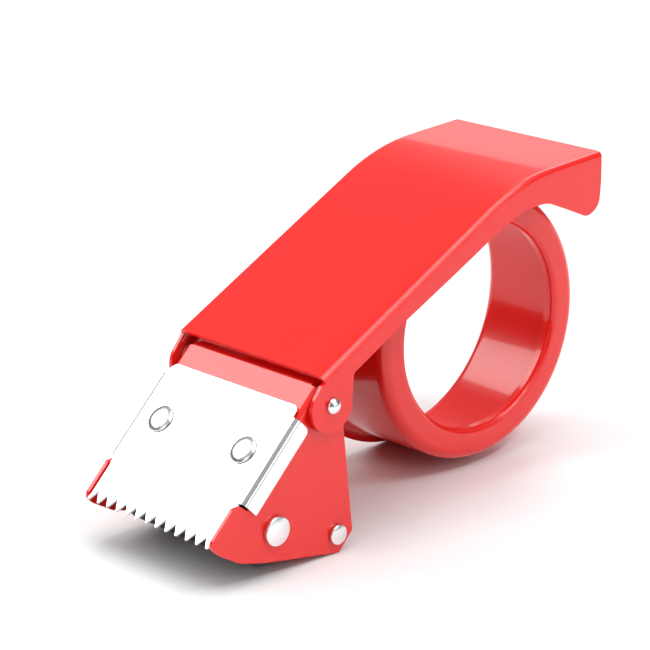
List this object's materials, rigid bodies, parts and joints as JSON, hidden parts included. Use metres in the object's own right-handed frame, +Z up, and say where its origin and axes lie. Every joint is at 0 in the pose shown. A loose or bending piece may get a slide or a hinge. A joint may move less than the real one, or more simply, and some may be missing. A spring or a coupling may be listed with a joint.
{
  "type": "tape dispenser",
  "caption": "Hand-held metal tape dispenser: side-loading open hub, hinged handle over the roll, rubber roller and a toothed cutter blade at the front.",
  "frame": {"origin": "middle of the bounding box, on the surface it stands on", "axes": "+X towards the handle's tail, -X towards the blade, +Y the arm side, -Y the open side where the roll goes on, +Z up"},
  "size_m": [0.1515, 0.0584, 0.0872],
  "materials": {
    "red_paint": "gloss enamel",
    "nickel": "bright nickel",
    "rivet_steel": "bright zinc",
    "zinc": "satin",
    "core_plastic": "matte",
    "rubber": "matte"
  },
  "bodies": {
    "frame": {"head_frame": "red_paint", "hub_cup": "red_paint", "cutter_blade": "nickel", "blade_rivet_near": "rivet_steel", "blade_rivet_far": "rivet_steel", "roller_axle": "rivet_steel", "roller_washer_near": "zinc", "roller_washer_far": "zinc", "tie_pin": "rivet_steel", "guide_washer_near": "zinc", "guide_washer_far": "zinc", "handle_rivet_near": "rivet_steel", "handle_rivet_far": "rivet_steel", "handle_washer_near": "zinc", "handle_washer_far": "zinc", "rivet_burr_near": "zinc", "rivet_burr_far": "zinc"},
    "handle": {"handle": "red_paint"},
    "roller": {"roller_core": "core_plastic", "roller_tyre": "rubber"},
    "guide": {"guide_sleeve": "zinc"}
  },
  "joints": [
    {"name": "handle_lift", "type": "hinge", "parent": "frame", "child": "handle", "pos_m": [-0.037, 0, 0.041], "axis": [0, -1, 0], "range_deg": [0, 61]},
    {"name": "roller_spin", "type": "hinge", "parent": "frame", "child": "roller", "pos_m": [-0.0551, 0, 0.01245], "axis": [0, 1, 0], "continuous": true},
    {"name": "guide_spin", "type": "hinge", "parent": "frame", "child": "guide", "pos_m": [-0.0343, 0, 0.00528], "axis": [0, 1, 0], "continuous": true}
  ]
}
